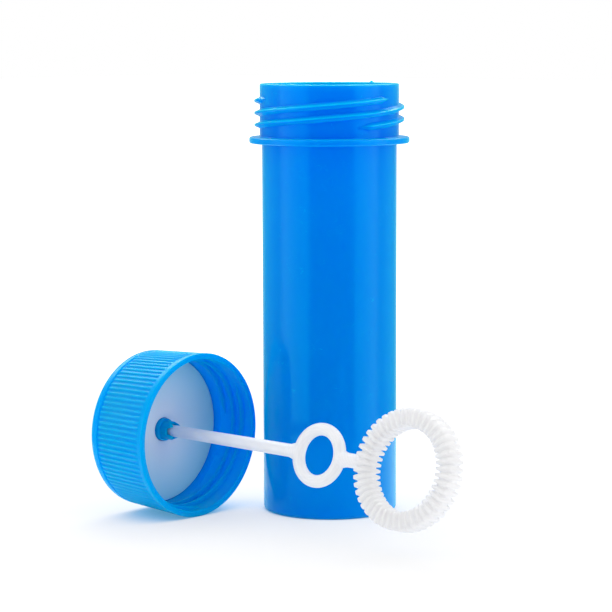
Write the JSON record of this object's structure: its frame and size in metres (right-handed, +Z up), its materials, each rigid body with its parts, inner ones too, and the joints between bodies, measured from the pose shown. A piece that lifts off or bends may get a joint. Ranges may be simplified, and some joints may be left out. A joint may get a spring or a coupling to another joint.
{
  "type": "bubble wand set",
  "caption": "Bubble wand with a small plain ring and a large ridged ring, held in the socket of a ribbed screw cap, beside its tall screw-neck bottle.",
  "frame": {"origin": "middle of the bottle's foot, on the surface that the set stands on", "axes": "+Z up along the bottle's axis, +X the way that the lying cap and its wand point, seen from above"},
  "size_m": [0.1014, 0.071, 0.108],
  "materials": {
    "bottle_blue": "glossy moulded plastic, saturated blue",
    "cap_blue": "glossy moulded plastic, slightly lighter blue",
    "liner_white": "soft matt white foamed sheet",
    "wand_white": "satin white moulded plastic"
  },
  "bodies": {
    "bottle": {"bottle": "bottle_blue"},
    "liner": {"liner": "liner_white"},
    "cap": {"cap": "cap_blue"},
    "wand": {"wand": "wand_white"}
  },
  "joints": [
    {"name": "set_lift", "type": "slide", "parent": "bottle", "child": "liner", "axis": [0, -0.2588, 0.9659], "range_m": [0, 0.12]},
    {"name": "cap_turn", "type": "hinge", "parent": "liner", "child": "cap", "pos_m": [-0.01667, -0.03027, 0.02065], "axis": [0.9999, 0, -0.014], "range_deg": [0, 250]},
    {"name": "wand_pull", "type": "slide", "parent": "cap", "child": "wand", "axis": [0.9999, 0, -0.014], "range_m": [0, 0.012]}
  ]
}
